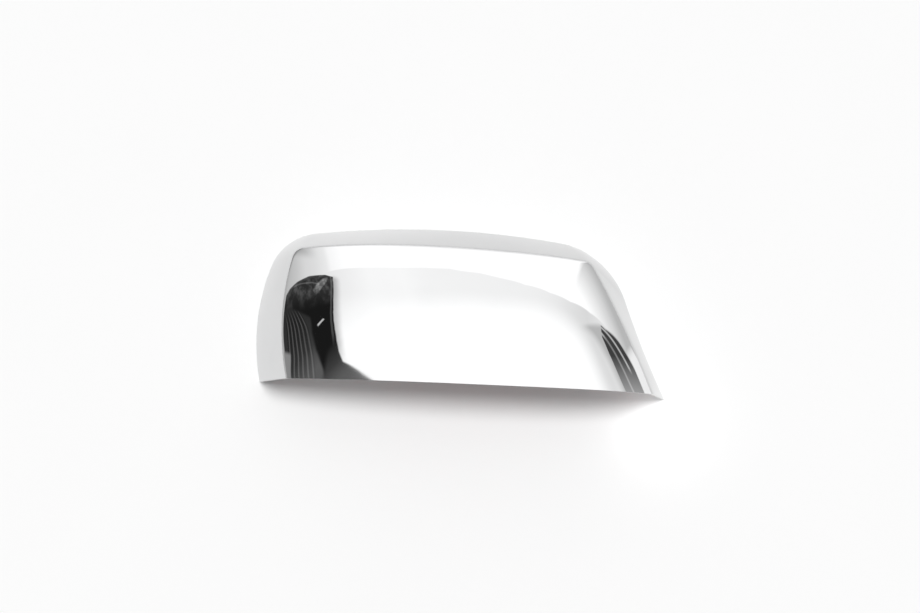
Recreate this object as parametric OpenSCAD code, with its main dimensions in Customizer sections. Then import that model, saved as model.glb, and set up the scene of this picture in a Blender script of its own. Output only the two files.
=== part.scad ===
// Chromed cover for the upper half of a wing mirror head.
// One thin moulded shell, open at the back and along a straight cut edge,
// with strips of foam tape stuck inside it. It lies on its rear rim, face up.
// X runs along the cut edge, Y from the cut edge to the top, Z out of the face.
// The square end is the upright one, and the raked end is the slanted one.

/* [Rim outline] */
// Length of the cut edge, from tip to tip at the rim
cut_w = 241.5; // [220:0.5:260]
// Height of the square corner above the cut edge
square_h = 88; // [80:1:96]
// Height of the raked corner above the cut edge
raked_h = 86.5; // [79:0.5:95]
// Distance of the square corner in from the square tip
square_lean = 11; // [6:0.5:16]
// Distance of the raked corner in from the raked tip
raked_lean = 35; // [28:1:44]
// Outward bow of the square side
square_bow = 8; // [5:0.5:10]
// Outward bow of the top side
top_bow = 9; // [6:0.5:12]
// Outward bow of the raked side; below 0 it flares towards its tip
raked_bow = -2; // [-4:0.5:2]
// Length of each side taken up by the round of the square corner
square_round = 18; // [12:1:24]
// Length of each side taken up by the round of the raked corner
raked_round = 30; // [22:1:36]

/* [Band between rim and crease] */
// Width of the band at the cut edge on the square side, seen from the front
band_square = 19; // [12:0.5:24]
// Width of the square side's band at the square corner
band_square_top = 8.5; // [5:0.5:14]
// Width of the top band at the square corner
band_top_square = 11; // [7:0.5:16]
// Width of the top band at the raked corner
band_top_raked = 11.5; // [7:0.5:16]
// Width of the raked side's band at the raked corner
band_raked_top = 14.5; // [10:0.5:18]
// Width of the band at the cut edge on the raked side
band_raked = 11; // [6:0.5:16]
// Crown of the band between rim and crease
band_crown = 0.6; // [0:0.1:2]

/* [Front face] */
// Height of the crest of the face above the rim
depth = 57; // [50:1:64]
// Distance of the crest from the square tip, along the cut edge
crest_x = 128; // [115:1:140]
// Fall of the face from its crest to the crease on the square side
square_drop = 20; // [14:0.5:24]
// Fall of the face from its crest to the crease on the raked side
raked_drop = 16; // [12:0.5:20]
// Fall of the face from its crest to the crease along the top
top_drop = 13; // [9:0.5:17]
// How late the face rolls over towards the square side
square_roll = 2.4; // [2.2:0.1:3.4]
// How late the face rolls over towards the raked side
raked_roll = 4.4; // [3:0.1:5]
// How late the face rolls over towards the top
top_roll = 2.8; // [2.2:0.1:3.6]
// Outward bow of the crease on the square side
crease_square_bow = 5; // [2:0.5:7]
// Outward bow of the crease along the top
crease_top_bow = 4; // [2:0.5:7]
// Outward bow of the crease on the raked side
crease_raked_bow = 1.5; // [0:0.5:4]
// Length of each crease side taken up by the round of its square corner
crease_square_round = 5; // [3:0.5:12]
// Length of each crease side taken up by the round of its raked corner
crease_raked_round = 3; // [2.5:0.5:10]
// Length of the small round across the crease, on each side of it
crease_round = 1.6; // [0.8:0.1:3]

/* [Wall] */
// Thickness of the wall, level through the band and plumb through the face
wall = 2.4; // [1.8:0.1:3.2]

/* [Foam tape] */
// Width of the tape
tape_w = 12; // [8:0.5:15]
// Thickness of the tape
tape_t = 1.1; // [0.6:0.1:1.6]
// Glue line between the wall and the tape
tape_gap = 0.1; // [0.1:0.05:0.3]
// Distance of the band's tapes from the rim
tape_rim = 9; // [6:0.5:12]
// Distance of the face's tape and of the tape ends from the cut edge
tape_edge = 6; // [4:0.5:12]
// Distance of the face's tape from the crease at either end
tape_face_end = 45; // [35:1:60]

/* [Smoothness] */
// Steps along the square and the raked side
side_steps = 16; // [10:1:22]
// Steps round each corner
corner_steps = 12; // [8:1:16]
// Steps along the top
top_steps = 30; // [20:1:40]
// Steps across the band
band_steps = 3; // [2:1:5]
// Steps across the round of the crease
round_steps = 3; // [2:1:5]
// Steps across the face
face_steps = 12; // [8:1:16]

/* [Hidden] */

// Steps of the arch's five stretches, and the number of its last rib
stretch_steps = [side_steps, corner_steps, top_steps, corner_steps, side_steps];
last_rib = 2 * side_steps + 2 * corner_steps + top_steps;

// Handles of a corner's curve, as a share of the way to where its tangents meet
corner_fullness = 0.6;
// The inner crease moves in a little less than the wall is thick
crease_shift = 0.75 * wall;
// All ribs of the face end on this middle stretch of the cut edge
spine_from = crest_x - 0.3 * cut_w;
spine_to = crest_x + 0.25 * cut_w;
// Rings of the face crowd towards the crease, where it rolls over most
ring_crowding = 1.25;

// Corners of the two outlines, square tip first: rim and crease
rim_corners = [
    [0, 0],
    [square_lean, square_h],
    [cut_w - raked_lean, raked_h],
    [cut_w, 0]
];
crease_corners = [
    [band_square, 0],
    [square_lean + band_square_top, square_h - band_top_square],
    [cut_w - raked_lean - band_raked_top, raked_h - band_top_raked],
    [cut_w - band_raked, 0]
];
rim_bows = [square_bow, top_bow, raked_bow];
crease_bows = [crease_square_bow, crease_top_bow, crease_raked_bow];
rim_rounds = [square_round, raked_round];
crease_rounds = [crease_square_round, crease_raked_round];

// Slopes along which the face's two ends lean, as its sides do
square_slope = square_lean / square_h;
raked_slope = raked_lean / raked_h;
// Reach of the face from its crest to the crease: each end, and the top
square_reach = crest_x - band_square;
raked_reach = cut_w - band_raked - crest_x;
top_reach = square_h - band_top_square + crease_top_bow;

function mix(a, b, t) = a + (b - a) * t;

// Point and direction on a bowed side: a quadratic curve from a to b that
// stands off its chord by bow in the middle
function bow_handle(a, b, bow) =
    (a + b) / 2 + 2 * bow * [a.y - b.y, b.x - a.x] / norm(b - a);
function on_side(a, b, bow, t) =
    let (c = bow_handle(a, b, bow))
    (1 - t) * (1 - t) * a + 2 * t * (1 - t) * c + t * t * b;
function along_side(a, b, bow, t) =
    let (c = bow_handle(a, b, bow))
    2 * (1 - t) * (c - a) + 2 * t * (b - c);

// Where the line from p along d meets the line from q along e
function meet(p, d, q, e) =
    let (r = q - p)
    p + d * (r.x * e.y - r.y * e.x) / (d.x * e.y - d.y * e.x);

// Corner curve from p, leaving along d, to q, arriving along e
function on_corner(p, d, q, e, t) =
    let (
        k = meet(p, d, q, e),
        a = mix(p, k, corner_fullness),
        b = mix(q, k, corner_fullness),
        s = 1 - t
    )
    s * s * s * p + 3 * s * s * t * a + 3 * s * t * t * b + t * t * t * q;

// Shares of side k at which it leaves its first corner and reaches its second
function side_from(v, rounds, k) = k == 0 ? 0 : rounds[k - 1] / norm(v[k + 1] - v[k]);
function side_to(v, rounds, k) = k == 2 ? 1 : 1 - rounds[k] / norm(v[k + 1] - v[k]);

// Point at the share t of one of an arch's five stretches: three bowed sides
// between the corners v, with rounds that take a length off each side
function on_arch(v, bows, rounds, part, t) =
    let (k = floor(part / 2), u = side_to(v, rounds, k))
    part % 2 == 0
        ? on_side(v[k], v[k + 1], bows[k], mix(side_from(v, rounds, k), u, t))
        : let (w = side_from(v, rounds, k + 1))
            on_corner(
                on_side(v[k], v[k + 1], bows[k], u),
                along_side(v[k], v[k + 1], bows[k], u),
                on_side(v[k + 1], v[k + 2], bows[k + 1], w),
                along_side(v[k + 1], v[k + 2], bows[k + 1], w),
                t
            );

// Whole arch from the square tip over the top to the raked tip
function arch(v, bows, rounds) = [
    for (part = [0:4], step = [0:stretch_steps[part] - (part < 4 ? 1 : 0)])
    on_arch(v, bows, rounds, part, step / stretch_steps[part])
];

// The same corners with every side moved in by d; the tips stay on the cut
function side_dir(v, k) = (v[k + 1] - v[k]) / norm(v[k + 1] - v[k]);
function side_in(v, k, d) = v[k] + d * [side_dir(v, k).y, -side_dir(v, k).x];
function inset(v, d) = [
    v[0] + [d / side_dir(v, 0).y, 0],
    meet(side_in(v, 0, d), side_dir(v, 0), side_in(v, 1, d), side_dir(v, 1)),
    meet(side_in(v, 1, d), side_dir(v, 1), side_in(v, 2, d), side_dir(v, 2)),
    v[3] + [d / side_dir(v, 2).y, 0]
];
function shorten(rounds, d) = [for (r = rounds) max(1, r - d)];

// Height of the outer face over the point p of the plan
function face_z(p) =
    let (
        square = max(0, crest_x - p.x + square_slope * p.y) / square_reach,
        raked = max(0, p.x + raked_slope * p.y - crest_x) / raked_reach,
        fall_x = square_drop * pow(square, square_roll)
            + raked_drop * pow(raked, raked_roll),
        fall_y = top_drop * pow(max(0, p.y) / top_reach, top_roll)
    )
    depth - sqrt(fall_x * fall_x + fall_y * fall_y);
function on_face(p, down) = [p.x, p.y, face_z(p) - down];

// Point on the band at the share t of the way from the rim r to the crease c,
// crowned outwards along the direction out
function on_band(r, c, out, t) =
    mix(r, c, t) + 4 * t * (1 - t) * band_crown * out;

// Level outward direction where an outline passes from a to b
function out_of(a, b) = [a.y - b.y, b.x - a.x, 0] / norm(b - a);

// One rib of a skin: up the band, round the crease, and over the face
function rib(r, c, out, spine, down) =
    let (
        foot = [r.x, r.y, 0],
        ridge = on_face(c, down),
        below = 1 - crease_round / norm(ridge - foot),
        start = crease_round / norm(spine - c),
        p = on_band(foot, ridge, out, below),
        q = on_face(mix(c, spine, start), down)
    )
    concat(
        [for (j = [0:band_steps - 1]) on_band(foot, ridge, out, below * j / band_steps)],
        [for (j = [0:round_steps - 1])
            let (t = j / round_steps)
            (1 - t) * (1 - t) * p + 2 * t * (1 - t) * ridge + t * t * q],
        [for (j = [0:face_steps])
            let (t = mix(start, 1, pow(j / face_steps, ring_crowding)))
            on_face(mix(c, spine, t), down)]
    );

// A whole skin: its ribs from the square tip to the raked tip. The two end
// ribs are crowned along X, so that they stay in the plane of the cut.
function skin(rim, crease, down) = [
    for (i = [0:last_rib])
    let (
        out = i == 0 ? [-1, 0, 0] : i == last_rib ? [1, 0, 0] : out_of(rim[i - 1], rim[i + 1]),
        spine = [mix(spine_from, spine_to, i / last_rib), 0]
    )
    rib(rim[i], crease[i], out, spine, down)
];

// Inner outlines: corners and rounds
rim_corners_in = inset(rim_corners, wall);
crease_corners_in = inset(crease_corners, crease_shift);
rim_rounds_in = shorten(rim_rounds, wall);
crease_rounds_in = shorten(crease_rounds, crease_shift);

rim_out = arch(rim_corners, rim_bows, rim_rounds);
crease_out = arch(crease_corners, crease_bows, crease_rounds);
rim_in = arch(rim_corners_in, rim_bows, rim_rounds_in);
crease_in = arch(crease_corners_in, crease_bows, crease_rounds_in);

// The part's origin is under the middle of its box
mid_x = (min([for (p = rim_out) p.x]) + max([for (p = rim_out) p.x])) / 2;
mid_y = max([for (p = rim_out) p.y]) / 2;

// Triangles of the quad whose corners are a, b, c and d
function quad(a, b, c, d) = [[a, c, b], [a, d, c]];
// Quads over a grid of ribs, each with the given count of points, from start
function sheet(start, ribs, count, flip) = [
    for (i = [0:ribs - 2], j = [0:count - 2])
    let (
        a = start + i * count + j,
        b = a + 1,
        c = a + count + 1,
        d = a + count
    )
    each flip ? quad(a, d, c, b) : quad(a, b, c, d)
];
// Closed solid between an outer and an inner grid of ribs
module walled(outer, inner) {
    ribs = len(outer);
    count = len(outer[0]);
    under = ribs * count;
    points = concat([for (r = outer) each r], [for (r = inner) each r]);
    ends = [
        for (j = [0:count - 2])
        let (a = j, b = (ribs - 1) * count + j)
        each concat(
            quad(a, a + under, a + under + 1, a + 1),
            quad(b + 1, b + under + 1, b + under, b)
        )
    ];
    sides = [
        for (i = [0:ribs - 2])
        let (a = i * count, b = a + count - 1)
        each concat(
            quad(a + count, a + count + under, a + under, a),
            quad(b, b + under, b + count + under, b + count)
        )
    ];
    faces = concat(
        sheet(0, ribs, count, false), sheet(under, ribs, count, true), ends, sides
    );
    polyhedron(points, faces, convexity = 6);
}

module placed() {
    translate([-mid_x, -mid_y, 0]) children();
}

// Moulded shell: outer skin, inner skin, flat rear rim and flat cut edge
module cover_shell() {
    color("gainsboro") placed()
        walled(skin(rim_out, crease_out, 0), skin(rim_in, crease_in, wall));
}

// Strip of tape on the inside of the band, along one stretch of the arch,
// between the shares from and to of that stretch
module band_tape(part, from, to, steps) {
    function foot(t) = on_arch(rim_corners_in, rim_bows, rim_rounds_in, part, t);
    function ridge(t) = on_arch(crease_corners_in, crease_bows, crease_rounds_in, part, t);
    strip = [
        for (i = [0:steps])
        let (
            t = mix(from, to, i / steps),
            r = [foot(t).x, foot(t).y, 0],
            c = on_face(ridge(t), wall),
            out = out_of(foot(t - 0.01), foot(t + 0.01))
        )
        [for (off = [tape_gap, tape_gap + tape_t])
            [for (z = [tape_rim + tape_w, tape_rim + tape_w / 2, tape_rim])
                on_band(r, c, out, z / norm(c - r)) - off * out]]
    ];
    walled([for (s = strip) s[1]], [for (s = strip) s[0]]);
}

// Share of an end stretch at which it stands clear of the cut edge
function clear_of_cut(part) =
    let (top = on_arch(rim_corners_in, rim_bows, rim_rounds_in, part, part == 0 ? 1 : 0))
    tape_edge / top.y;

module tape_square_side() {
    color("firebrick") placed() band_tape(0, clear_of_cut(0), 1, side_steps);
}

module tape_top() {
    color("firebrick") placed() band_tape(2, 0, 1, top_steps);
}

module tape_raked_side() {
    color("firebrick") placed() band_tape(4, 0, 1 - clear_of_cut(4), side_steps);
}

// Strip of tape on the inside of the face, just behind the cut edge
module tape_face() {
    from = band_square + tape_face_end;
    to = cut_w - band_raked - tape_face_end;
    strip = [
        for (i = [0:top_steps])
        let (x = mix(from, to, i / top_steps))
        [for (down = [wall + tape_gap, wall + tape_gap + tape_t])
            [for (y = [tape_edge, tape_edge + tape_w / 2, tape_edge + tape_w])
                on_face([x, y], down)]]
    ];
    color("firebrick") placed()
        walled([for (s = strip) s[1]], [for (s = strip) s[0]]);
}

cover_shell();
tape_square_side();
tape_top();
tape_raked_side();
tape_face();
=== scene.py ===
# %% [markdown]
# # A chromed wing mirror cover
#
# The object is one thin plastic moulding, plated with bright chrome, that goes
# over the upper half of a wing mirror head. It has a front face that is curved
# both ways, a steep band round three of its sides, and a crisp crease between
# the two. Along the fourth side it is cut off straight.
#
# The frame is the engineering model that the looks are built round, and it is loaded first.

# %% Load the frame
import math

import bpy
import numpy as np
from mathutils import Matrix, Vector


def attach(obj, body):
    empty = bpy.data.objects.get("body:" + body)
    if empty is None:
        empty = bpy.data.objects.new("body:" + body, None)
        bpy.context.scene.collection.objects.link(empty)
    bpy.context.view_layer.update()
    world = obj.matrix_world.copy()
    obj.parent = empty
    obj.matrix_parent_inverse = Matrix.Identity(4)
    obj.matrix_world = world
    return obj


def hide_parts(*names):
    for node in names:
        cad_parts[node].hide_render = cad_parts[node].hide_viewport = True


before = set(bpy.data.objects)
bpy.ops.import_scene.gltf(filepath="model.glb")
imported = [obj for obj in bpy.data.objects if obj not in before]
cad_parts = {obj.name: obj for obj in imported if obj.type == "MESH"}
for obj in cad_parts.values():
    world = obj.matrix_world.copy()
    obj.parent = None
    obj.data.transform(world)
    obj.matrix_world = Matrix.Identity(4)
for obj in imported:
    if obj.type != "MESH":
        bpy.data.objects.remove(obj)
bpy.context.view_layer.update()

print("nodes:", sorted(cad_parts))

# %% [markdown]
# ## The sizes of the moulding
#
# A part like this is drawn from two outlines. The rim is where the cover meets
# the mirror head, and the crease is where the band turns over into the face.
# Each is an arch of three bowed sides with rounded corners between them. All
# lengths below are in millimetres, measured from the square tip of the cut
# edge, and one function further down takes every point into the frame.

# %% Sizes
MM = 0.001

CUT_W = 241.5
SQUARE_LEAN, SQUARE_H = 11.0, 88.0
RAKED_LEAN, RAKED_H = 35.0, 86.5
RIM_BOWS = (8.0, 9.0, -2.0)
RIM_ROUNDS = (18.0, 30.0)

BAND_SQUARE, BAND_SQUARE_TOP = 19.0, 8.5
BAND_TOP_SQUARE, BAND_TOP_RAKED = 11.0, 11.5
BAND_RAKED_TOP, BAND_RAKED = 14.5, 11.0
BAND_CROWN = 0.6
CREASE_BOWS = (5.0, 4.0, 1.5)
CREASE_ROUNDS = (5.0, 3.0)
CREASE_ROUND = 1.6

DEPTH = 57.0
CREST_X = 128.0
SQUARE_DROP, RAKED_DROP, TOP_DROP = 20.0, 16.0, 13.0
SQUARE_ROLL, RAKED_ROLL, TOP_ROLL = 2.4, 4.4, 2.8

WALL = 2.4
EDGE_ROUND = 0.5

RIM_CORNERS = [
    (0, 0),
    (SQUARE_LEAN, SQUARE_H),
    (CUT_W - RAKED_LEAN, RAKED_H),
    (CUT_W, 0),
]
CREASE_CORNERS = [
    (BAND_SQUARE, 0),
    (SQUARE_LEAN + BAND_SQUARE_TOP, SQUARE_H - BAND_TOP_SQUARE),
    (CUT_W - RAKED_LEAN - BAND_RAKED_TOP, RAKED_H - BAND_TOP_RAKED),
    (CUT_W - BAND_RAKED, 0),
]
print(f"cut edge {CUT_W:.1f}, depth {DEPTH:.0f}, wall {WALL}")

# %% [markdown]
# ## The outlines
#
# A side that bows out evenly is a quadratic curve, and a corner is a cubic one
# that leaves and arrives along the sides' own directions. One function handles
# both kinds: it mixes neighbouring points again and again until a single one
# is left, and it does so for all shares of the way at once.

# %% Curves and outlines
CORNER_FULLNESS = 0.6


def mix(a, b, t):
    """The point at the share t of the way from a to b."""
    return a + (b - a) * t


def bezier(points, t):
    """Curve from the first point to the last: neighbours are mixed at the
    shares t until one is left."""
    layer = [np.asarray(p, float) for p in points]
    shares = np.asarray(t, float)[:, None]
    while len(layer) > 1:
        layer = [mix(p, q, shares) for p, q in zip(layer, layer[1:])]
    return layer[0]


def meet(p, along_p, q, along_q):
    """Where the line from p along one direction crosses the line from q along another."""
    gap = q - p
    cross = along_p[0] * along_q[1] - along_p[1] * along_q[0]
    return p + along_p * (gap[0] * along_q[1] - gap[1] * along_q[0]) / cross


class Outline:
    """An arch of three bowed sides between four corners, with rounds that take
    a length off each of the two sides they join."""

    def __init__(self, corners, bows, rounds):
        self.corners = [np.array(c, float) for c in corners]
        self.bows, self.rounds = bows, rounds
        pairs = list(zip(self.corners, self.corners[1:]))
        spans = [np.linalg.norm(b - a) for a, b in pairs]
        self.along = [(b - a) / span for (a, b), span in zip(pairs, spans)]
        self.sides = [
            (a, (a + b) / 2 + 2 * bow * np.array([-d[1], d[0]]), b)
            for (a, b), bow, d in zip(pairs, bows, self.along)
        ]
        self.start = [0.0] + [r / span for r, span in zip(rounds, spans[1:])]
        self.end = [1 - r / span for r, span in zip(rounds, spans)] + [1.0]

    def leaving(self, side, t):
        """Point and direction at the share t of a side."""
        a, handle, b = self.sides[side]
        return bezier((a, handle, b), [t])[0], mix(handle - a, b - handle, t)

    def stretch(self, part, t):
        """Points at the shares t of stretch 0 to 4: side, corner, side, corner, side."""
        side = part // 2
        if part % 2 == 0:
            return bezier(self.sides[side], mix(self.start[side], self.end[side], t))
        p, along_p = self.leaving(side, self.end[side])
        q, along_q = self.leaving(side + 1, self.start[side + 1])
        knee = meet(p, along_p, q, along_q)
        handles = mix(p, knee, CORNER_FULLNESS), mix(q, knee, CORNER_FULLNESS)
        return bezier((p, *handles, q), t)

    def whole(self, steps):
        """All five stretches in turn, with the given count of steps in each."""
        parts = [self.stretch(k, np.arange(n) / n) for k, n in enumerate(steps)]
        return np.vstack(parts + [self.corners[-1]])

    def inset(self, by):
        """The outline with its sides moved in by a distance, and its rounds
        shortened by as much; the tips stay on the cut."""
        moved = [c + by * np.array([d[1], -d[0]]) for c, d in zip(self.corners, self.along)]
        first, middle, last = self.along
        corners = [
            self.corners[0] + [by / first[1], 0],
            meet(moved[0], first, moved[1], middle),
            meet(moved[1], middle, moved[2], last),
            self.corners[-1] + [by / last[1], 0],
        ]
        return Outline(corners, self.bows, [max(1, r - by) for r in self.rounds])


RIB_STEPS = (56, 44, 110, 44, 56)
CREASE_SHIFT = 0.75 * WALL

rim = Outline(RIM_CORNERS, RIM_BOWS, RIM_ROUNDS)
crease = Outline(CREASE_CORNERS, CREASE_BOWS, CREASE_ROUNDS)
rim_inside = rim.inset(WALL)
crease_inside = crease.inset(CREASE_SHIFT)
rim_line = rim.whole(RIB_STEPS)
print("ribs:", len(rim_line), "width at the rim:", round(np.ptp(rim_line[:, 0]), 2))

# %% [markdown]
# ## The face
#
# The face is highest at a crest on the cut edge and rolls down towards the
# square side, the raked side and the top. Each roll is a power of the share of
# the way to the crease, so it is nearly flat at the crest and steepest where
# the face meets the band. The two falls are joined as the sides of a right
# angle are, and that keeps the corners full.

# %% Face height
SQUARE_SLOPE = SQUARE_LEAN / SQUARE_H
RAKED_SLOPE = RAKED_LEAN / RAKED_H
SQUARE_REACH = CREST_X - BAND_SQUARE
RAKED_REACH = CUT_W - BAND_RAKED - CREST_X
TOP_REACH = SQUARE_H - BAND_TOP_SQUARE + CREASE_BOWS[1]


def face_height(plan):
    """Height of the outer face over points of the plan: the depth less the root
    of the squared fall along the cut edge and the squared fall towards the top."""
    x, y = plan[..., 0], plan[..., 1]
    square = np.maximum(0, CREST_X - x + SQUARE_SLOPE * y) / SQUARE_REACH
    raked = np.maximum(0, x + RAKED_SLOPE * y - CREST_X) / RAKED_REACH
    sideways = SQUARE_DROP * square**SQUARE_ROLL + RAKED_DROP * raked**RAKED_ROLL
    upwards = TOP_DROP * (np.maximum(0, y) / TOP_REACH) ** TOP_ROLL
    return DEPTH - np.hypot(sideways, upwards)


def on_face(plan, down):
    """The plan points lifted to the outer face, less a distance down."""
    return np.concatenate([plan, (face_height(plan) - down)[..., None]], axis=-1)


crease_line = crease.whole(RIB_STEPS)
print("height of the crease at its two tips:", face_height(crease_line[[0, -1]]).round(1))

# %% [markdown]
# ## Ribs and skins
#
# The outer skin is a grid. Its ribs start at the rim, climb the band, go round
# the crease and run over the face to their own point of the cut edge. Because
# the ribs follow the form, the crease is a row of the grid and stays crisp,
# which a mesh that is cut afterwards can't promise. The inner skin is the same
# grid on outlines that are moved in by the wall.

# %% The two skins
BAND_STEPS, CREASE_STEPS, FACE_STEPS = 12, 8, 58
RING_CROWDING = 1.25
SPINE = (CREST_X - 0.3 * CUT_W, CREST_X + 0.25 * CUT_W)


def lift(plan, z):
    """Plan points at the height z."""
    return np.concatenate([plan, np.full(plan.shape[:-1] + (1,), float(z))], axis=-1)


def outwards(line):
    """Level direction out of an outline: across the line between the two
    neighbours of each point. The ends point along X and stay in the cut."""
    step = np.gradient(line, axis=0)
    out = lift(np.column_stack([-step[:, 1], step[:, 0]]), 0)
    out[0], out[-1] = (-1, 0, 0), (1, 0, 0)
    return out / np.linalg.norm(out, axis=1, keepdims=True)


def on_band(foot, ridge, out, t):
    """Points at the shares t of the way up the band, which swells outwards as
    a parabola does: four times the crown times t times 1 - t."""
    return mix(foot, ridge, t) + 4 * t * (1 - t) * BAND_CROWN * out


def skin(foot_line, ridge_line, down):
    """Grid of points, ribs by rings. A rib is a crowned line up the band, a
    curve round the crease, whose handle is the crease itself, and a straight
    walk over the plan of the face, lifted to the face's height."""
    foot = lift(foot_line, 0)[:, None]
    plan = ridge_line[:, None]
    ridge = on_face(plan, down)
    out = outwards(foot_line)[:, None]
    spine = np.linspace((SPINE[0], 0), (SPINE[1], 0), len(foot_line))[:, None]

    below = 1 - CREASE_ROUND / np.linalg.norm(ridge - foot, axis=-1, keepdims=True)
    start = CREASE_ROUND / np.linalg.norm(spine - plan, axis=-1, keepdims=True)
    leave = on_band(foot, ridge, out, below)
    arrive = on_face(mix(plan, spine, start), down)

    t = (np.arange(CREASE_STEPS) / CREASE_STEPS)[None, :, None]
    band = on_band(foot, ridge, out, below * (np.arange(BAND_STEPS) / BAND_STEPS)[None, :, None])
    bend = mix(mix(leave, ridge, t), mix(ridge, arrive, t), t)
    share = (np.arange(FACE_STEPS + 1) / FACE_STEPS)[None, :, None] ** RING_CROWDING
    face = on_face(mix(plan, spine, mix(start, 1, share)), down)
    return np.concatenate([band, bend, face], axis=1)


outer_skin = skin(rim_line, crease_line, 0)
inner_skin = skin(rim_inside.whole(RIB_STEPS), crease_inside.whole(RIB_STEPS), WALL)
print("grid of each skin:", outer_skin.shape[:2])

# %% [markdown]
# ## From arrays to a mesh
#
# The frame's origin is on the table, under the middle of the part, so the
# points are shifted by the middle of the rim's box and scaled to metres. A
# grid becomes quads by shifting its table of point numbers by one row and one
# column, again without a loop.

# %% Mesh helpers
MIDDLE = np.array([
    (rim_line[:, 0].min() + rim_line[:, 0].max()) / 2,
    rim_line[:, 1].max() / 2,
    0,
])


def in_frame(points):
    """Millimetres from the square tip to metres from the frame's origin."""
    return (points.reshape(-1, 3) - MIDDLE) * MM


def grid_quads(numbers):
    """Quads over a grid of point numbers. The side that faces the reader when
    ribs run to the left and rings upwards is the outside."""
    corners = (numbers[:-1, :-1], numbers[:-1, 1:], numbers[1:, 1:], numbers[1:, :-1])
    return np.stack(corners, axis=-1).reshape(-1, 4)


def make_piece(name, points, faces, materials, finish):
    """A smooth mesh object at the origin that rides with the frame's one body."""
    mesh = bpy.data.meshes.new(name)
    mesh.from_pydata(in_frame(points).tolist(), [], [tuple(f) for f in faces])
    for material in materials:
        mesh.materials.append(material)
    mesh.polygons.foreach_set("material_index", np.asarray(finish, np.int32))
    mesh.polygons.foreach_set("use_smooth", np.ones(len(faces), bool))
    mesh.update()
    piece = bpy.data.objects.new(name, mesh)
    bpy.context.collection.objects.link(piece)
    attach(piece, "root")
    print(f"{name}: {len(points)} points, {len(faces)} faces")
    return piece


# %% [markdown]
# ## A small language for shaders
#
# Node trees are easier to read as sums than as wires. The class below wraps an
# output socket, so that `1 - mask` adds a Math node, and one method adds any
# other node from its settings and the values or links of its sockets.

# %% Shader helpers


class Wire:
    """The output of a node. Arithmetic on it adds Math nodes to its tree."""

    def __init__(self, tree, socket):
        self.tree, self.socket = tree, socket

    def math(self, operation, *others):
        """A Math node on this wire, and on other wires or numbers after it."""
        return self.tree.maths(operation, self, *others)

    def __add__(self, other):
        return self.math("ADD", other)

    def __sub__(self, other):
        return self.math("SUBTRACT", other)

    def __rsub__(self, other):
        return self.tree.maths("SUBTRACT", other, self)

    def __mul__(self, other):
        return self.math("MULTIPLY", other)

    def __truediv__(self, other):
        return self.math("DIVIDE", other)

    def __pow__(self, power):
        return self.math("POWER", power)

    def least(self, other):
        return self.math("MINIMUM", other)

    def most(self, other):
        return self.math("MAXIMUM", other)

    def rise(self, low, high):
        """0 up to low, 1 from high on, and a smooth rise between them."""
        settings = {"interpolation_type": "SMOOTHSTEP"}
        values = {"Value": self, "From Min": low, "From Max": high}
        return self.tree.node("ShaderNodeMapRange", settings, values)

    __radd__ = __add__
    __rmul__ = __mul__


class Tree:
    """A node tree that is being written."""

    def __init__(self, node_tree):
        self.nodes, self.links = node_tree.nodes, node_tree.links
        self.nodes.clear()

    def node(self, kind, settings=None, values=None, out=0):
        """Adds a node: first its settings, then the values or links of its
        sockets. Returns the wire of one output, or a list if out is a tuple."""
        made = self.nodes.new(kind)
        for name, setting in (settings or {}).items():
            setattr(made, name, setting)
        for name, value in (values or {}).items():
            if isinstance(value, Wire):
                self.links.new(value.socket, made.inputs[name])
            else:
                made.inputs[name].default_value = value
        if isinstance(out, tuple):
            return [Wire(self, made.outputs[name]) for name in out]
        return Wire(self, made.outputs[out]) if made.outputs else made

    def maths(self, operation, *values):
        """A Math node with its operands in turn."""
        return self.node("ShaderNodeMath", {"operation": operation}, dict(enumerate(values)))

    def blend(self, share, first, second):
        """Colour that goes from first to second with the share."""
        values = {0: share, 6: first, 7: second}
        return self.node("ShaderNodeMix", {"data_type": "RGBA"}, values, out=2)

    def noise(self, place, scale, detail=2.0, roughness=0.5):
        """Even noise around one half, with its scale in waves per metre."""
        values = {"Vector": place, "Scale": scale, "Detail": detail, "Roughness": roughness}
        return self.node("ShaderNodeTexNoise", {}, values)


def grey(level):
    """A neutral colour: the same amount of red, green and blue."""
    return (level, level, level, 1)


def new_material(name):
    """A material and its empty tree, with the object's own coordinates ready."""
    material = bpy.data.materials.new(name)
    material.use_nodes = True
    tree = Tree(material.node_tree)
    place = tree.node("ShaderNodeTexCoord", out="Object")
    return material, tree, place


def finish_surface(tree, values, bump=None, depth=0.0):
    """The shader with the given values, over an optional bump of a depth in metres."""
    if bump is not None:
        settings = {"Height": bump, "Strength": 1.0, "Distance": depth}
        values = {**values, "Normal": tree.node("ShaderNodeBump", {}, settings)}
    shader = tree.node("ShaderNodeBsdfPrincipled", {}, values)
    tree.node("ShaderNodeOutputMaterial", {}, {"Surface": shader})


# %% [markdown]
# ## Bright chrome
#
# Decorative chrome is a mirror with a faint life of its own: the plating tank
# leaves a very slow waviness, and handling leaves a breath of haze that shows
# only as a slightly softer reflection. So the colour is almost even, the
# roughness wanders between two low values, and the bump is a few hundredths
# of a millimetre deep over waves about two fingers wide.

# %% Bright chrome
def bright_chrome():
    material, tree, place = new_material("bright_chrome")
    haze = tree.noise(place, 35, detail=3).rise(0.4, 0.75)
    specks = tree.noise(place, 900, detail=2).rise(0.68, 0.8)
    share = haze * 0.6 + specks * 0.4
    colour = tree.blend(share, (0.775, 0.777, 0.78, 1), (0.745, 0.748, 0.752, 1))
    waves = tree.noise(place, 28, detail=1)
    finish_surface(
        tree,
        {
            "Base Color": colour,
            "Metallic": 1.0,
            "Roughness": 0.012 + haze * 0.012 + specks * 0.01,
        },
        bump=waves,
        depth=0.00004,
    )
    return material


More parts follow.
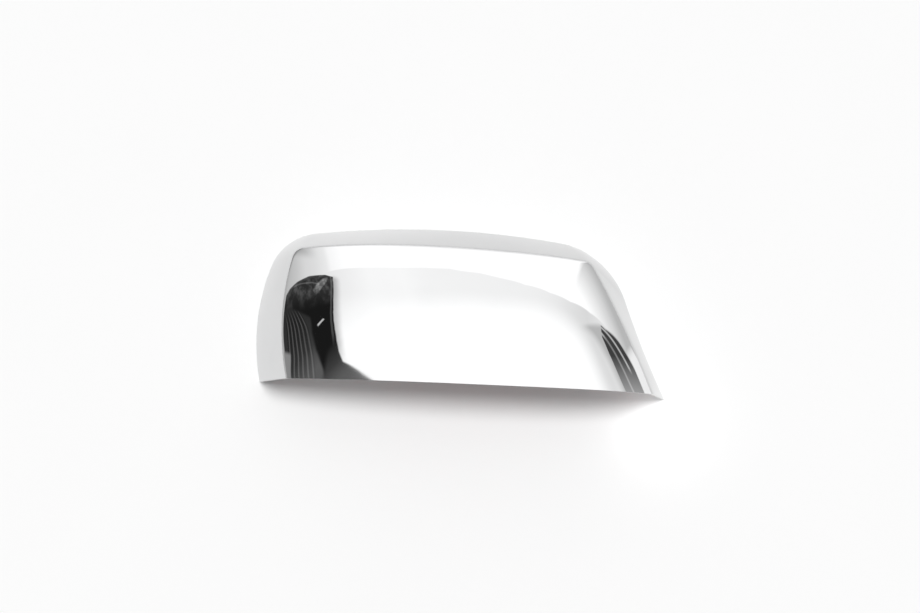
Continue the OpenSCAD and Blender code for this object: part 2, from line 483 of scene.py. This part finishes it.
# %% [markdown]
# ## The dull inside
#
# The mould is polished only where the outside is formed, so the plated inner
# skin stays satin, greyer and a little streaky. Tiny pits of the unpolished
# mould are a fine bump.

# %% Dull inside
def dull_chrome():
    material, tree, place = new_material("dull_chrome")
    cloud = tree.noise(place, 40, detail=4)
    grain = tree.noise(place, 1500, detail=2)
    colour = tree.blend(cloud.rise(0.3, 0.7), (0.60, 0.61, 0.62, 1), (0.48, 0.49, 0.50, 1))
    finish_surface(
        tree,
        {
            "Base Color": colour,
            "Metallic": 1.0,
            "Roughness": 0.32 + cloud * 0.16,
        },
        bump=grain,
        depth=0.00002,
    )
    return material


# %% [markdown]
# ## The shell
#
# The two skins share one numbering, and the wall's edge is a single strip that
# follows the outer border all the way round: along the rim, up the raked tip,
# back along the cut edge and down the square tip. A Bevel modifier then rounds
# every edge of that strip, as a moulded and plated edge is, and carries the
# skins' normals on, so the mirror finish has no seam there.

# %% Shell
def border(numbers):
    """Point numbers round a grid's edge: first ring, last rib, last ring back, first rib back."""
    return np.concatenate([
        numbers[:, 0], numbers[-1, 1:], numbers[-2::-1, -1], numbers[0, -2:0:-1],
    ])


def make_shell():
    """Both skins and the edge of the wall as one closed mesh, with a live bevel."""
    outside = np.arange(outer_skin[..., 0].size).reshape(outer_skin.shape[:2])
    inside = outside + outside.size
    outer_edge, inner_edge = border(outside), border(inside)
    edge = np.stack(
        [outer_edge, np.roll(outer_edge, -1), np.roll(inner_edge, -1), inner_edge], axis=1
    )
    skins = [grid_quads(outside), grid_quads(inside)[:, ::-1], edge]
    finish = np.repeat([0, 1, 0], [len(s) for s in skins])
    points = np.concatenate([outer_skin.reshape(-1, 3), inner_skin.reshape(-1, 3)])
    shell = make_piece(
        "shell",
        points,
        np.concatenate(skins).tolist(),
        [bright_chrome(), dull_chrome()],
        finish,
    )
    rounding = shell.modifiers.new("edge_round", "BEVEL")
    rounding.width = EDGE_ROUND * MM
    rounding.segments = 4
    rounding.limit_method = "ANGLE"
    rounding.angle_limit = math.radians(40)
    rounding.harden_normals = True
    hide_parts("cover_shell")
    print("rounding of the shell's edges:", EDGE_ROUND, "mm")


make_shell()

# %% [markdown]
# ## Foam tape under its release film
#
# Four strips of foam tape hold such a cover on the mirror head. Each is a dark
# closed-cell foam about a millimetre thick, and until the cover is fitted a
# red release film lies on it and stands a little past the foam at both sides.
# A strip is one closed profile, foam and film together, that is carried along
# the inner skin.

# %% Tape finishes
def tape_foam():
    material, tree, place = new_material("tape_foam")
    cells = tree.noise(place, 4200, detail=3, roughness=0.6)
    colour = tree.blend(cells.rise(0.35, 0.65), (0.035, 0.035, 0.038, 1), (0.085, 0.085, 0.09, 1))
    finish_surface(
        tree,
        {"Base Color": colour, "Roughness": 0.8 + cells * 0.2},
        bump=cells,
        depth=0.0001,
    )
    return material


def release_film():
    material, tree, place = new_material("release_film")
    wrinkles = tree.noise(place, 160, detail=3, roughness=0.55)
    dust = tree.noise(place, 2500, detail=2).rise(0.62, 0.75)
    colour = tree.blend(wrinkles.rise(0.3, 0.7), (0.60, 0.055, 0.045, 1), (0.42, 0.035, 0.03, 1))
    finish_surface(
        tree,
        {"Base Color": colour, "Roughness": 0.22 + wrinkles * 0.16 + dust * 0.2},
        bump=wrinkles,
        depth=0.0002,
    )
    return material


# %% Tape strips
TAPE_W = 12.0
TAPE_T = 1.1
TAPE_GAP = 0.1
TAPE_RIM = 9.0
TAPE_EDGE = 6.0
TAPE_FACE_END = 45.0
FILM_T = 0.15
FILM_PAST = 0.2
FOAM_BULGE = 0.12
SIDE_ROWS, TOP_ROWS, FACE_ROWS = 60, 110, 90
SHARE_STEP = 0.01


def tape_profile(across=10):
    """Closed profile of the strip as places across it and distances off the
    wall, and for each side of the profile whether it is film."""
    low, high, top = TAPE_GAP, TAPE_GAP + TAPE_T - FILM_T, TAPE_GAP + TAPE_T
    ramp = np.linspace(0, 1, across + 1)
    middle = (low + high) / 2
    points = [(s, low) for s in TAPE_W * ramp]
    points += [(TAPE_W + FOAM_BULGE, middle), (TAPE_W, high), (TAPE_W + FILM_PAST, high)]
    points += [(s, top) for s in mix(TAPE_W + FILM_PAST, -FILM_PAST, ramp)]
    points += [(-FILM_PAST, high), (0, high), (-FOAM_BULGE, middle)]
    film = [False] * (across + 2) + [True] * (across + 4) + [False] * 2
    return np.array(points), film


def make_tape(name, path, shares, foam, film):
    """A strip along a path: path gives a point for shares of the way (down the
    rows) and for places across and off the wall (along the columns)."""
    profile, is_film = tape_profile()
    across, off = profile[None, :, 0], profile[None, :, 1]
    points = path(shares, across, off)
    rows, columns = points.shape[:2]
    numbers = np.arange(rows * columns).reshape(rows, columns)
    closed = np.concatenate([numbers, numbers[:, :1]], axis=1)
    sides = grid_quads(closed)
    faces = sides.tolist() + [numbers[0, ::-1].tolist(), numbers[-1].tolist()]
    finish = np.tile(is_film, rows - 1).tolist() + [False, False]
    piece = make_piece(name + "_strip", points, faces, [foam, film], finish)
    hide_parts(name)


def band_path(part):
    """Path along one stretch of the inner band: up the band from the rim by a
    slope distance, and off it along the level outward direction."""

    def path(shares, across, off):
        foot = lift(rim_inside.stretch(part, shares), 0)[:, None]
        ridge = on_face(crease_inside.stretch(part, shares), WALL)[:, None]
        ahead = rim_inside.stretch(part, shares + SHARE_STEP)
        step = ahead - rim_inside.stretch(part, shares - SHARE_STEP)
        out = lift(np.column_stack([-step[:, 1], step[:, 0]]), 0)[:, None]
        out = out / np.linalg.norm(out, axis=-1, keepdims=True)
        slope = np.linalg.norm(ridge - foot, axis=-1, keepdims=True)
        t = (TAPE_RIM + across[..., None]) / slope
        return on_band(foot, ridge, out, t) - off[..., None] * out

    return path


def face_path(shares, across, off):
    """Path under the face, parallel to the cut edge and a distance behind it."""
    x = mix(BAND_SQUARE + TAPE_FACE_END, CUT_W - BAND_RAKED - TAPE_FACE_END, shares)[:, None]
    plan = np.stack(np.broadcast_arrays(x, TAPE_EDGE + TAPE_W - across), axis=-1)
    return on_face(plan, WALL) - off[..., None] * np.array([0, 0, 1.0])


foam, film = tape_foam(), release_film()
clear_square = TAPE_EDGE / rim_inside.stretch(0, np.array([1.0]))[0, 1]
clear_raked = TAPE_EDGE / rim_inside.stretch(4, np.array([0.0]))[0, 1]
strips = {
    "tape_square_side": (band_path(0), np.linspace(clear_square, 1, SIDE_ROWS)),
    "tape_top": (band_path(2), np.linspace(0, 1, TOP_ROWS)),
    "tape_raked_side": (band_path(4), np.linspace(0, 1 - clear_raked, SIDE_ROWS)),
    "tape_face": (face_path, np.linspace(0, 1, FACE_ROWS)),
}
for name, (path, shares) in strips.items():
    make_tape(name, path, shares, foam, film)

# %% [markdown]
# ## The table
#
# The cover lies on a plain white table. It is one large disc, so that no edge of it shows from
# any side.

# %% Table
TABLE_RADIUS = 8.0
TABLE_SIDES = 96


def make_table():
    """A white disc. Reflections see it with painted shade: its colour is greyer for them, and
    more so beyond the top and the raked end, where the light of a real studio falls off."""
    turn = np.linspace(0, 2 * np.pi, TABLE_SIDES, endpoint=False)
    rim_points = np.column_stack([np.cos(turn), np.sin(turn), 0 * turn]) * TABLE_RADIUS
    mesh = bpy.data.meshes.new("table")
    mesh.from_pydata(rim_points.tolist(), [], [list(range(len(turn)))])
    material, tree, place = new_material("table_white")
    mottle = tree.noise(place, 12, detail=3)
    white = tree.blend(mottle, grey(0.945), grey(0.955))
    x, y = tree.node("ShaderNodeSeparateXYZ", {}, {0: place}, out=("X", "Y"))
    # painted shade: the colour that reflections see is greyer, and greyer still beyond the top
    # and the raked end
    far = (x + y * 1.2).rise(-0.03, 0.08)
    reflected_painted_shade = tree.blend(far, grey(0.85), grey(0.785))
    colour = tree.blend(tree.node("ShaderNodeLightPath", out="Is Glossy Ray"), white, reflected_painted_shade)
    finish_surface(tree, {"Base Color": colour, "Roughness": 0.9, "Specular IOR Level": 0.0})
    mesh.materials.append(material)
    table = bpy.data.objects.new("table", mesh)
    bpy.context.collection.objects.link(table)
    print(f"table: radius {TABLE_RADIUS} m")


make_table()

# %% [markdown]
# ## The studio that the chrome reflects
#
# Chrome has no look of its own: what is seen in it is the room. So the world
# is painted by direction, and only reflections see that painting. Directions
# are laid out flat by dividing the level parts by one plus the upright part,
# which puts straight up in the middle and the horizon on a circle of radius 1.
# On that chart gx runs to the right and gy runs away from the camera.
#
# Overhead is a wide white ceiling of two cloths that overlap. The walls to the
# left and right are grey, and so are the two end walls, which show in the
# crease and in low views. On the left hangs a dark screen with slats, and on
# the right a narrow one with two gaps. Their edges are broken lines, which
# Math nodes draw exactly: one slope, and one bend at each inner place.

# %% Drawing on the chart of directions
CEILING = 1.36
BACKDROP = 0.95
DIFFUSE_LIGHT = 0.41


def broken_line(x, *places):
    """Straight lines from place to place, each a pair of x and value: the
    slope from the first place on, plus a change of slope at every inner one."""
    at, values = np.array(places, float).T
    slopes = np.diff(values) / np.diff(at)
    line = values[0] + (x - at[0]) * slopes[0]
    for start, bend in zip(at[1:-1], np.diff(slopes)):
        line = line + (x - start).most(0) * bend
    return line


def within(value, low, high, soft):
    """1 between low and high and 0 outside, over soft borders."""
    return value.rise(low - soft, low + soft) * (1 - value.rise(high - soft, high + soft))


def cover(light, mask, shown):
    """The light, with something else shown instead where the mask is 1."""
    return light + mask * (shown - light)


# %% Ceiling and walls
def lower_cloth(gx, gy):
    """Light of the ceiling with its lower cloth, whose edge rises to a point in
    the middle of the chart, and whose shade fades out further down."""
    edge = broken_line(
        gx, (-0.305, 0.269), (-0.201, 0.314), (-0.095, 0.364), (-0.038, 0.389), (-0.010, 0.394),
        (0.003, 0.378), (0.011, 0.357), (0.025, 0.327), (0.075, 0.295), (0.182, 0.262),
        (0.335, 0.247), (0.439, 0.255),
    )
    shade = broken_line(
        gx, (-0.32, 0.27), (-0.22, 0.16), (-0.1, 0.15), (0.0, 0.22), (0.075, 0.28), (0.18, 0.38),
        (0.3, 0.47), (0.4, 0.39), (0.5, 0.39),
    )
    lower = gy + broken_line(gx, (-0.3, 0.115), (-0.15, 0.08), (0.0, 0.0), (0.3, 0.105))
    return CEILING - shade.least(0.47) * (edge - gy).rise(-0.002, 0.008) * lower.rise(0.17, 0.29)


def left_wall(gx, gy):
    """Light of the left wall: greyer outwards, and a little more so high up."""
    light = broken_line(
        gx, (-0.55, 0.61), (-0.51, 0.71), (-0.47, 0.86), (-0.43, 0.92), (-0.38, 1.05),
        (-0.36, 1.2), (-0.27, CEILING),
    )
    high = gy.rise(0.27, 0.32) * (1 - gx.rise(-0.48, -0.4))
    light = light.least(CEILING).most(0.55) * (1 - high * 0.33)
    return cover(light, (gx + gy * 0.7).rise(-0.06, 0.0), CEILING)


def right_wall(gx, gy):
    """Light of the right wall, which greys along a slanted line on the chart,
    with a lit stretch low down behind the narrow screen."""
    light = broken_line(
        gx * 0.893 + gy, (0.52, CEILING), (0.62, 1.12), (0.68, 1.0), (0.715, 0.92), (0.75, 0.86),
        (0.8, 0.74), (0.86, 0.62),
    )
    light = cover(CEILING, (gx - gy * 0.55).rise(0.0, 0.06), light.least(CEILING).most(0.61))
    lit = gx.rise(0.42, 0.47) * (1 - (gy - gx * 0.485).rise(-0.01, 0.01))
    return light.most(lit * 1.1)


def end_walls(gx, gy):
    """Light of the two end walls, greyer towards the horizon. Low views reflect
    them, and so does the crease, which is darkest at its upper left corner."""
    light = broken_line(
        gy, (-0.9, 0.35), (-0.5, 0.7), (-0.15, CEILING), (0.5, CEILING), (0.7, 1.08), (1.0, 0.86)
    )
    corner = gy.rise(0.4, 0.6) * (1 - gx.rise(-0.5, -0.15))
    return light.least(CEILING).most(0.35) * (1 - corner * 0.35)


# %% [markdown]
# The screens are where most of the drawing is, because the eye goes there. A
# mask is the depth inside an edge, turned into 0 or 1 over a very short rise,
# so the edge is as sharp in the chrome as the real one is.

# %% Left screen: its edges
def left_screen_edges(gx, gy):
    """How deep a direction lies below the arched top edge of the left screen,
    and left of its side edge, which flares out at the foot."""
    top = broken_line(
        gx, (-0.56, 0.151), (-0.534, 0.173), (-0.506, 0.188), (-0.453, 0.207), (-0.392, 0.217),
        (-0.355, 0.213),
    )
    side = broken_line(
        gy, (0.063, -0.207), (0.072, -0.254), (0.081, -0.305), (0.087, -0.324), (0.093, -0.337),
        (0.101, -0.348), (0.110, -0.356), (0.121, -0.361), (0.142, -0.364), (0.213, -0.361),
    )
    return top - gy, side - gx


# %% Left screen: black cloth
BLACK_CLOTH = 0.012
PATCH_MIDDLE = (-0.414, 0.179)
PATCH_SLANT = (0.736, 0.677)
PATCH_HALVES = (0.038, 0.010)


def folded_cloth(gx, gy, below, cloud):
    """Light of the black cloth: cloudy and greyer high up and along its top
    edge, with one thin fold across it and one grey patch that lies aslant."""
    high = gy.rise(0.13, 0.165)
    hem = (1 - below.rise(0.0, 0.012)) * 0.04
    light = BLACK_CLOTH + high * (0.02 + cloud.rise(0.42, 0.68) * 0.07 + hem)

    fold = broken_line(gx, (-0.522, 0.176), (-0.490, 0.183), (-0.446, 0.186), (-0.414, 0.183))
    fold = 1 - (gy - fold).math("ABSOLUTE").rise(0.0006, 0.003)
    light = light + fold * within(gx, -0.52, -0.42, 0.01) * 0.09

    x, y = gx - PATCH_MIDDLE[0], gy - PATCH_MIDDLE[1]
    along = x * PATCH_SLANT[0] + y * PATCH_SLANT[1]
    across = y * PATCH_SLANT[0] - x * PATCH_SLANT[1]
    patch = (along / PATCH_HALVES[0]) ** 2 + (across / PATCH_HALVES[1]) ** 2
    patch = 1 - patch.rise(0.3, 1.5)
    return light + patch * (0.1 + cloud.rise(0.35, 0.6) * 0.24 + along * 2.5)


# %% Left screen: wedge with slats
WEDGE_CLOTH = 0.034
SLATS = 5
SLAT_TOP = 0.133


def slatted_wedge(gx, gy):
    """Mask and light of a paler wedge, low on the left of the screen. Its slats
    are waves of the place across a fan that widens downwards."""
    top = broken_line(gx, (-0.546, 0.145), (-0.515, 0.140), (-0.484, 0.133), (-0.443, 0.123))
    side = broken_line(
        gy, (0.082, -0.356), (0.088, -0.373), (0.098, -0.403), (0.109, -0.428), (0.123, -0.443)
    )
    mask = (top - gy).rise(-0.002, 0.002) * (side - gx).rise(-0.004, 0.004)
    down = SLAT_TOP - gy
    fan = (gx + 0.533 - down * 1.56) / (down * 0.48 + 0.045)
    comb = (fan * (SLATS * math.tau)).math("COSINE").rise(0.2, 1.0)
    slats = within(fan, -0.1, 1.08, 0.03) * (comb * 0.085 - 0.018) * down.rise(-0.01, 0.01)
    cloth = broken_line(
        gy, (0.090, 0.13), (0.095, 0.10), (0.102, 0.058), (0.112, 0.042), (0.13, WEDGE_CLOTH)
    )
    return mask, cloth.least(0.13).most(WEDGE_CLOTH) + slats


# %% Left screen: corner, foot and glint
CORNER_LIGHT = 0.3
GLINT_MIDDLE = (-0.4015, 0.1135)
GLINT_LIGHT = 0.65


def pale_corner(gx, gy):
    """1 in the lower left corner of the screen, below two slanted edges."""
    corner = 1 - (gx + gy * 1.65 + 0.3165).rise(0.0, 0.004)
    return corner * (0.115 - (gx + 0.521) * 0.18 - gy).rise(0.0, 0.002)


def lamp_glint(gx, gy):
    """1 in a short slanted bar. The four factors turn the chart into pixels of
    the picture along and across the bar."""
    x, y = gx - GLINT_MIDDLE[0], gy - GLINT_MIDDLE[1]
    length = (x * 290 + y * 1181).math("ABSOLUTE").rise(4.2, 6.0)
    width = (x * 145 - y * 659).math("ABSOLUTE").rise(0.5, 1.3)
    return (1 - length) * (1 - width)


def left_screen_light(gx, gy, below, inside, cloud):
    """What the left screen shows: folded black cloth, the slatted wedge, a pale
    corner, a foot that greys downwards, a seam and the glint of one lamp."""
    light = cover(folded_cloth(gx, gy, below, cloud), *slatted_wedge(gx, gy))
    light = cover(light, pale_corner(gx, gy), CORNER_LIGHT)
    foot = broken_line(gy, (0.068, 0.16), (0.076, 0.13), (0.083, 0.06), (0.094, BLACK_CLOTH))
    by_foot = gx.rise(-0.372, -0.352) * (1 - gy.rise(0.09, 0.1))
    light = cover(light, by_foot, foot.least(0.16).most(BLACK_CLOTH))
    seam = within(inside, 0.0055, 0.0115, 0.0015) * gy.rise(0.09, 0.10)
    return cover(light + seam * 0.07, lamp_glint(gx, gy), GLINT_LIGHT)


def with_left_screen(light, gx, gy, cloud):
    """The light with the left screen and the soft shade beside it."""
    below, inside = left_screen_edges(gx, gy)
    outside = inside * -1.0
    reach = broken_line(gy, (0.085, 0.018), (0.11, 0.033)).least(0.033).most(0.015)
    beside = (1 - (outside / reach).rise(0.0, 1.0)) * outside.rise(-0.002, 0.0) * 0.42
    light = light * (1 - beside * gy.rise(0.076, 0.092) * (1 - gy.rise(0.2, 0.225)))
    mask = below.rise(-0.0012, 0.0012) * inside.rise(-0.0018, 0.0018) * gy.rise(0.02, 0.05)
    return cover(light, mask, left_screen_light(gx, gy, below, inside, cloud))


# %% Right screen
DARK_STRIP, PALE_STRIP = 0.06, 0.42
SHADE = 0.6


def right_screen_edges(gx, gy):
    """How deep a direction lies below the upper edge of the right screen, above
    its lower edge, and to the right of its blunt left end."""
    upper = broken_line(
        gx, (0.400, 0.236), (0.440, 0.2425), (0.455, 0.247), (0.500, 0.260), (0.543, 0.2715),
        (0.591, 0.282), (0.625, 0.289), (0.648, 0.286),
    )
    lower = broken_line(
        gx, (0.381, 0.212), (0.391, 0.2075), (0.399, 0.2015), (0.415, 0.200), (0.44, 0.200)
    )
    end = gx - 0.386 - (gy - 0.211) * 0.8
    return upper - gy, gy - lower, end


def nearness(gx, gy):
    """How far a direction lies towards the viewer along the right screen."""
    return gx * 1.534 - gy * 3.68


def right_screen_light(gx, gy):
    """What the right screen shows: three dark strips with two gaps between
    them, paler towards the viewer."""
    near = nearness(gx, gy)
    strips = broken_line(
        near, (-0.125, DARK_STRIP), (-0.108, 0.14), (-0.09, 0.27), (-0.07, PALE_STRIP)
    )
    strips = strips.least(PALE_STRIP).most(DARK_STRIP)
    first = (gy - 0.2215 - (gx - 0.42) * 0.13).math("ABSOLUTE")
    second = (gy - 0.248 - (gx - 0.489) * 0.19).math("ABSOLUTE")
    light = strips + (1 - first.rise(0.0008, 0.0042)) * (0.22 + (1 - gx.rise(0.395, 0.42)) * 0.3)
    return light + (1 - second.rise(0.0008, 0.0034)) * (1 - near.rise(-0.108, -0.095)) * 0.52


def with_right_screen(light, gx, gy):
    """The light with the right screen and the broad soft shade below it."""
    near = nearness(gx, gy)
    shade = broken_line(
        gy - (near + 0.13).most(0) * 0.12, (0.146, CEILING), (0.151, 1.25), (0.160, 1.135),
        (0.169, 0.99), (0.1785, 0.866), (0.189, 0.72), (0.197, SHADE),
    )
    shade = shade.least(CEILING).most(SHADE)
    below, above, inside = right_screen_edges(gx, gy)
    beside = gx.rise(0.2, 0.3) * (1 - (gy - gx * 0.35).rise(0.087, 0.103))
    light = cover(light, beside * below.rise(-0.004, 0.0), shade.least(light))
    mask = below.rise(-0.0014, 0.0014) * above.rise(-0.0012, 0.0012) * inside.rise(-0.003, 0.003)
    return cover(light, mask * (1 - gx.rise(0.7, 0.74)), right_screen_light(gx, gy))


# %% Studio world
def studio_light(direction):
    """Light from the studio along a reflected direction."""
    tree = direction.tree
    x, y, z = tree.node("ShaderNodeSeparateXYZ", {}, {0: direction}, out=("X", "Y", "Z"))
    tilt = (1 + z).most(0.05)
    gx, gy = x / tilt, y / tilt
    cloud = tree.noise(direction, 26, detail=4, roughness=0.6)
    light = left_wall(gx, gy).least(right_wall(gx, gy)).least(lower_cloth(gx, gy))
    light = light.least(end_walls(gx, gy))
    light = with_left_screen(light, gx, gy, cloud)
    return with_right_screen(light, gx, gy)


def make_world():
    """Two plain backgrounds, one for reflections and one for all other rays, so
    that the drawing is only worked out where it is seen."""
    world = bpy.data.worlds.new("studio")
    world.use_nodes = True
    bpy.context.scene.world = world
    tree = Tree(world.node_tree)
    direction = tree.node("ShaderNodeTexCoord", out="Generated")
    camera, glossy = tree.node("ShaderNodeLightPath", out=("Is Camera Ray", "Is Glossy Ray"))
    plain = DIFFUSE_LIGHT + camera * (BACKDROP - DIFFUSE_LIGHT)
    lights = [
        tree.node("ShaderNodeBackground", {}, {"Color": grey(1), "Strength": strength})
        for strength in (plain, studio_light(direction))
    ]
    shader = tree.node("ShaderNodeMixShader", {}, {0: glossy, 1: lights[0], 2: lights[1]})
    tree.node("ShaderNodeOutputWorld", {}, {"Surface": shader})
    print("world nodes:", len(tree.nodes))


make_world()

# %% [markdown]
# ## The key light
#
# One broad soft light stands high behind the cover and to the right, so its
# shadow falls forward, out of the open cut edge, and is lightest at the raked
# end. It is a sun with a wide disc, which lights the whole table evenly.
# Reflections don't see it: they have the ceiling.

# %% Key light
KEY_ELEVATION = math.radians(72)
KEY_SIDE = math.radians(60)
KEY_SPREAD = math.radians(18)
KEY_STRENGTH = 2.02


def make_key():
    """A sun that shines along the direction which the two angles give."""
    lamp = bpy.data.lights.new("key", "SUN")
    lamp.energy = KEY_STRENGTH
    lamp.angle = KEY_SPREAD
    key = bpy.data.objects.new("key", lamp)
    level = math.cos(KEY_ELEVATION)
    towards = Vector((
        -level * math.sin(KEY_SIDE), -level * math.cos(KEY_SIDE), -math.sin(KEY_ELEVATION)
    ))
    key.rotation_euler = towards.to_track_quat("-Z", "Y").to_euler()
    key.visible_glossy = False
    bpy.context.collection.objects.link(key)
    print("the key shines along:", [round(part, 2) for part in towards])


make_key()

# %% [markdown]
# ## A lamp at the raked tip
#
# The real shadow fades out towards the raked tip. More light from all around
# would fade it everywhere, so a small lamp hangs low in front of the tip and
# lifts the table only there. The chrome has no matt light of its own, so it is
# left as it is.

# %% Lamp at the raked tip
TIP_LAMP_PLACE = (0.118, -0.062, 0.025)
TIP_LAMP_SIZE = 0.02
TIP_LAMP_POWER = 0.0028


def make_tip_lamp():
    """A small disc that shines straight down and isn't seen itself."""
    lamp = bpy.data.lights.new("tip_lamp", "AREA")
    lamp.shape = "DISK"
    lamp.size = TIP_LAMP_SIZE
    lamp.energy = TIP_LAMP_POWER
    tip_lamp = bpy.data.objects.new("tip_lamp", lamp)
    tip_lamp.location = TIP_LAMP_PLACE
    tip_lamp.visible_camera = False
    tip_lamp.visible_glossy = False
    bpy.context.collection.objects.link(tip_lamp)
    print(f"tip lamp: {TIP_LAMP_POWER} W")


make_tip_lamp()

# %% [markdown]
# ## The camera
#
# The photograph looks down on the cover from 83.5 degrees above the table, a
# little past the cut edge, and it is turned by 2.5 degrees about its own axis.
# The lens and the small shift put the aim point where the photograph has it.

# %% Camera
PHOTO_W, PHOTO_H = 920, 613
ELEVATION = math.radians(83.5)
CAMERA_TURN = math.radians(2.53)
CAMERA_DISTANCE = 1.1
AIM = Vector(in_frame(np.array([120.0, 45.0, 0.0]))[0])
AIM_PIXEL = (463.92, 315.91)
PIXELS_PER_MM = 1.67
SENSOR = 36.0


def make_camera():
    """A camera turned about its line of sight, with the lens for the photograph's scale."""
    back = Vector((0, -math.cos(ELEVATION), math.sin(ELEVATION)))
    level = Vector((1, 0, 0))
    upright = back.cross(level)
    right = math.cos(CAMERA_TURN) * level + math.sin(CAMERA_TURN) * upright
    up = math.cos(CAMERA_TURN) * upright - math.sin(CAMERA_TURN) * level
    data = bpy.data.cameras.new("camera")
    data.sensor_width = SENSOR
    data.lens = PIXELS_PER_MM * CAMERA_DISTANCE / MM * SENSOR / PHOTO_W
    data.shift_x = (PHOTO_W / 2 - AIM_PIXEL[0]) / PHOTO_W
    data.shift_y = (AIM_PIXEL[1] - PHOTO_H / 2) / PHOTO_W
    camera = bpy.data.objects.new("camera", data)
    turned = Matrix((right, up, back)).transposed().to_4x4()
    camera.matrix_world = Matrix.Translation(AIM + back * CAMERA_DISTANCE) @ turned
    bpy.context.collection.objects.link(camera)
    bpy.context.scene.camera = camera
    print(f"lens {data.lens:.2f} mm")


make_camera()
bpy.context.scene.view_settings.view_transform = "Standard"

bpy.context.view_layer.update()
